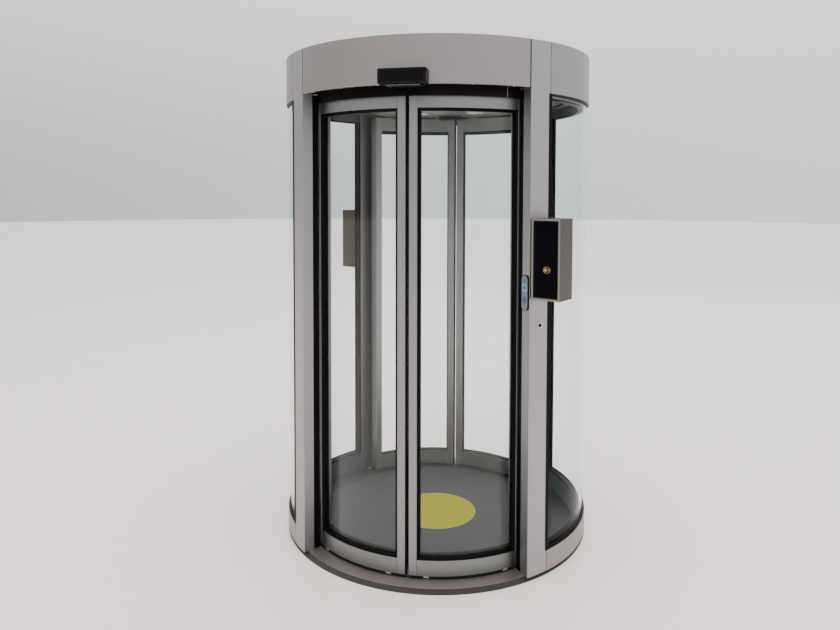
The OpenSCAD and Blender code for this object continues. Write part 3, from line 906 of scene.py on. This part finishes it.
# Card readers: boxes folded from brushed stainless steel, screwed to the posts
# and turned to face an arriving person, with a black glass face set in each.
reader_low, reader_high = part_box("card_readers")
reader_size = (0.130, 0.120, reader_high.z - reader_low.z)
reader_turn = -25
reader_degrees = post_start - 0.1
reader_out = 0.010
reader_margin = 0.012
corner = Vector(at(outer_r + reader_out, reader_degrees, reader_low.z))
reader_axes = Matrix.Translation(corner) @ Matrix.Rotation(math.radians(reader_turn), 4, "Z")
facing = reader_axes.to_3x3() @ Vector((0, -1, 0))

stainless = Finish("reader_steel", {"Metallic": 1.0})
drawn = stainless.place.noise(1.0, 2, (900, 900, 6))
smudges = stainless.place.noise(14, 4)
on_front = abs(stainless.place.along(facing)).above(corner.dot(facing) - 0.0008, 0.0004)
# The reader's flanks are painted much darker than its front rim: painted shade on the sides.
painted_shade_flank = (drawn * 0.5 + smudges * 0.5).mix((0.052, 0.047, 0.040, 1), (0.080, 0.072, 0.061, 1))
front_rim = drawn.mix((0.22, 0.21, 0.195, 1), (0.30, 0.29, 0.275, 1))
reader_steel = stainless.feed({"Base Color": on_front.mix(painted_shade_flank, front_rim),
                               "Roughness": 0.32 + smudges * 0.12 + drawn * 0.06,
                               "Normal": drawn.bump(0.00002)})


def where_portal_cuts(x, y, towards):
    """The angle at which a line across a reader's foot meets the portal's outside."""
    start = reader_axes @ Vector((x, y, 0))
    step = (reader_axes.to_3x3() @ Vector(towards)).normalized()
    start.z = 0
    reach = start.dot(step)
    length = -reach - math.sqrt(reach * reach - start.length_squared + outer_r * outer_r)
    met = start + step * length
    return math.degrees(math.atan2(met.x, -met.y))


near_cut = where_portal_cuts(0, 0, (0, 1, 0))
back_cut = where_portal_cuts(reader_size[0], reader_size[1], (-1, 0, 0))
foot_corners = [(reader_axes @ Vector((x, y, 0))).xy for x, y in
                ((0, 0), (reader_size[0], 0), (reader_size[0], reader_size[1]))]
glass_play = 0.0004
glass_depths = (0.0006, 0.0038)
glass_bed = 0.004
reader_black = coated("reader_glass", {"Specular IOR Level": 0.03}, (16, 4),
                      (0.0012, 0.0012, 0.0026, 1), (0.0022, 0.0022, 0.0042, 1), (0.05, 0.1))


def ink(name, roughness, dark, light):
    """Matt printing ink that lies a little unevenly."""
    printed = Finish(name, {"Roughness": roughness})
    return printed.feed({"Base Color": printed.place.noise(300, 3).mix(dark, light)})


amber = ink("mark_ink", 0.5, (0.42, 0.23, 0.09, 1), (0.52, 0.30, 0.13, 1))
mark_x, mark_z = 0.071, 0.128
mark_radii = (0.0130, 0.0145)
card_low, card_high = (-0.0095, -0.0060), (0.0015, 0.0060)
wave_radii = (0.0050, 0.0080)
wave_half = 0.0006
ink_t = 0.0003


def runs_along(axis):
    """A test that is true for the edges of an upright box that run along one axis."""
    return lambda edge: abs(edge.verts[0].co[axis] - edge.verts[1].co[axis]) > 0.0001


def ring(bm, centre, radii, depth, start=0.0, end=360.0):
    """A flat ring about local Z, or the part of one between two angles."""
    outwards = Vector((math.cos(math.radians(start)), math.sin(math.radians(start)), 0))
    verts = [bm.verts.new(Vector(centre) + outwards * radius + Vector((0, 0, rise)))
             for radius, rise in block(radii, (0, depth))]
    caps = [bm.faces.new(verts)]
    edges = list(caps[0].edges)
    closed = end - start >= 360
    if closed:
        bm.faces.remove(caps.pop())
    bmesh.ops.spin(bm, geom=[*caps, *edges, *verts], axis=(0, 0, 1), cent=centre,
                   angle=math.radians(end - start), steps=32, use_merge=closed)


for front, place in fronts.items():
    shell = bmesh.new()
    against_portal(shell, foot_corners, back_cut, near_cut, (reader_low.z, reader_high.z))
    face = [face for face in shell.faces if face.normal.dot(facing) > 0.99]
    bmesh.ops.inset_individual(shell, faces=face, thickness=reader_margin - glass_play)
    bmesh.ops.inset_individual(shell, faces=face, thickness=0.0002, depth=-glass_bed)
    round_edges(shell, 0.0012)
    finish_piece("reader_shell_" + front, turned(shell, place), reader_steel, "housing",
                 "stainless", "card_readers")

    glass_face = bmesh.new()
    rounded_box(glass_face, (reader_margin, glass_depths[0], reader_margin),
                (reader_size[0] - reader_margin, glass_depths[1], reader_size[2] - reader_margin),
                0.0006, 2)
    finish_piece("reader_face_" + front, turned(glass_face, place @ reader_axes), reader_black,
                 "housing", "dark_glass", "reader_glasses")
    mark = bmesh.new()
    ring(mark, (0, 0, 0), mark_radii, ink_t)
    rounded_box(mark, (*card_low, 0), (*card_high, ink_t), 0.0015, 3, runs_along(2))
    for wave_r in wave_radii:
        ring(mark, (card_high[0], 0, 0), (wave_r - wave_half, wave_r + wave_half), ink_t, -45, 45)
    bmesh.ops.scale(mark, vec=(1.12, 0.92, 1), verts=mark.verts)
    mark_place = (place @ reader_axes @ Matrix.Translation((mark_x, glass_depths[0], mark_z))
                  @ Matrix.Rotation(math.pi / 2, 4, "X"))
    finish_piece("reader_mark_" + front, turned(mark, mark_place), amber, "housing",
                 "dark_glass")

# Key switches: lock cylinders set in round satin plates on the posts beside the
# readers, each with a plated collar and a dark core with a keyway.
key_low, key_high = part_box("key_switches")
key_z = (key_low.z + key_high.z) / 2
key_r = (key_high.z - key_low.z) / 2
key_axes = (Matrix.Translation(at(outer_r, post_middle, key_z))
            @ Matrix.Rotation(math.radians(post_middle), 4, "Z")
            @ Matrix.Rotation(math.pi / 2, 4, "X"))
rose_t = 0.0040
rose_slope = 0.002
collar_radii = (0.0115, 0.0135)
collar_z = 0.0030
core_r = 0.009
core_drop = 0.004
keyway_low = (-0.0011, -core_drop - 0.0050, 0.0040)
keyway_high = (0.0011, -core_drop + 0.0030, 0.0045)
plating = coated("key_plating", {"Metallic": 1.0}, (300, 3), (0.80, 0.80, 0.82, 1),
                 (0.90, 0.90, 0.92, 1), (0.16, 0.1))
for front, place in fronts.items():
    rose, core, keyway = bmesh.new(), bmesh.new(), bmesh.new()
    cone(rose, (key_r, key_r - rose_slope), rose_t, Matrix.Translation((0, 0, 0.0015)), 64)
    round_edges(rose, 0.0005, 2)
    finish_piece("key_rose_" + front, turned(rose, place @ key_axes), post_metal, "housing",
                 "key_metal", "key_switches")
    collar = bmesh.new()
    ring(collar, (0, 0, collar_z), collar_radii, 0.0015)
    round_edges(collar, 0.0004, 2)
    finish_piece("key_collar_" + front, turned(collar, place @ key_axes), plating, "housing",
                 "key_metal")
    cone(core, (core_r, core_r - 0.0006), 0.0010, Matrix.Translation((0, -core_drop, 0.0038)), 40)
    finish_piece("key_core_" + front, turned(core, place @ key_axes), sensor_black, "housing",
                 "key_metal")
    rounded_box(keyway, keyway_low, keyway_high, 0.0002, 2)
    finish_piece("keyway_" + front, turned(keyway, place @ key_axes), black_rubber, "housing",
                 "key_metal")

# Jamb plates: bright plates with round ends on black backs, which show as a dark
# edge round each plate. They are fixed on the doorway faces of two posts and
# printed with a label, two dots and an arrow.
plate_low, plate_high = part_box("jamb_plates")
plate_radii = (post_inner_r + 0.003, outer_r - 0.004)
plate_t = 0.0075
plate_skin = 0.0012
plate_round = 0.020
plate_lap = 0.002
label_low, label_high = (1.246, -0.0135), (1.277, 0.0135)
badge, dot, arrow_head = (40, 1.262, 0.0085), (24, 1.289, 0.0038), (3, 1.214, 0.0150)
arrow_low, arrow_high = (1.194, -0.0045), (1.208, 0.0045)
plate_axes = Matrix.Rotation(math.radians(post_start), 4, "Z")
plate_metal = anodised("plate_metal", upright_grain, (0.205, 0.214, 0.250, 1),
                       (0.262, 0.270, 0.310, 1))
label_ink = ink("label_ink", 0.45, (0.22, 0.30, 0.56, 1), (0.30, 0.38, 0.64, 1))
blue_ink = ink("blue_ink", 0.45, (0.030, 0.045, 0.20, 1), (0.055, 0.080, 0.28, 1))

for front, place in fronts.items():
    back, plate, label, symbols = bmesh.new(), bmesh.new(), bmesh.new(), bmesh.new()
    rounded_box(back, (plate_skin - plate_t, -plate_radii[1], plate_low.z),
                (0, -plate_radii[0], plate_high.z), plate_round, 8, runs_along(0))
    finish_piece("jamb_plate_back_" + front, turned(back, place @ plate_axes), sensor_black,
                 "housing", "plate", "jamb_plates")
    rounded_box(plate, (-plate_t, plate_lap - plate_radii[1], plate_low.z + plate_lap),
                (plate_skin - plate_t, -plate_radii[0] - plate_lap, plate_high.z - plate_lap),
                plate_round - plate_lap, 8, runs_along(0))
    round_edges(plate, 0.0003, 2)
    finish_piece("jamb_plate_" + front, turned(plate, place @ plate_axes), plate_metal,
                 "housing", "plate", "jamb_plates")
    print_axes = (place @ plate_axes
                  @ Matrix.Translation((-plate_t, -sum(plate_radii) / 2, 0))
                  @ Matrix.Rotation(-math.pi / 2, 4, "Y"))
    rounded_box(label, (*label_low, 0), (*label_high, ink_t), 0.004, 4, runs_along(2))
    finish_piece("jamb_label_" + front, turned(label, print_axes), label_ink, "housing", "plate")
    for corners, z, size in (badge, dot, arrow_head):
        cone(symbols, (size, size), ink_t, Matrix.Translation((z, 0, ink_t * 1.5))
             @ Matrix.Rotation(-math.pi / 2, 4, "Z"), corners)
    rounded_box(symbols, (*arrow_low, 0), (*arrow_high, ink_t), 0.001, 2, runs_along(2))
    finish_piece("jamb_print_" + front, turned(symbols, print_axes), blue_ink, "housing", "plate")

# Screws: small stainless countersunk screws under the fascias' lips and round
# the roof's rim.
screw_steel = anodised("screw_steel", (300, 300, 300), (0.60, 0.60, 0.60, 1),
                       (0.72, 0.72, 0.72, 1))
screws = bmesh.new()
lip_screws = (-36, -22, -8, 8, 22, 36)
roof_screws = [7.5 + 15 * step for step in range(24)]
roof_rim = 0.012
lip_screw_r, roof_screw_r = 0.0042, 0.0040


def screw(bm, matrix, radius):
    """A screw head with a hexagon socket, pointing along local +Z."""
    cone(bm, (radius, radius * 0.8), 0.0012, matrix @ Matrix.Translation((0, 0, 0.0005)), 24)
    cone(bm, (radius * 0.45, radius * 0.45), 0.0003,
         matrix @ Matrix.Translation((0, 0, 0.00115)), 6)


downwards = Matrix.Rotation(math.pi, 4, "X")
for turn in (0, 180):
    for degrees in lip_screws:
        place = Matrix.Translation(at(outer_r - lip_w / 2, degrees + turn, door_h))
        screw(screws, place @ downwards, lip_screw_r)
for degrees in roof_screws:
    place = Matrix.Translation(at(outer_r - roof_rim, degrees, roof_z + sheet))
    screw(screws, place, roof_screw_r)
finish_piece("screws", screws, screw_steel, "housing", "cover")
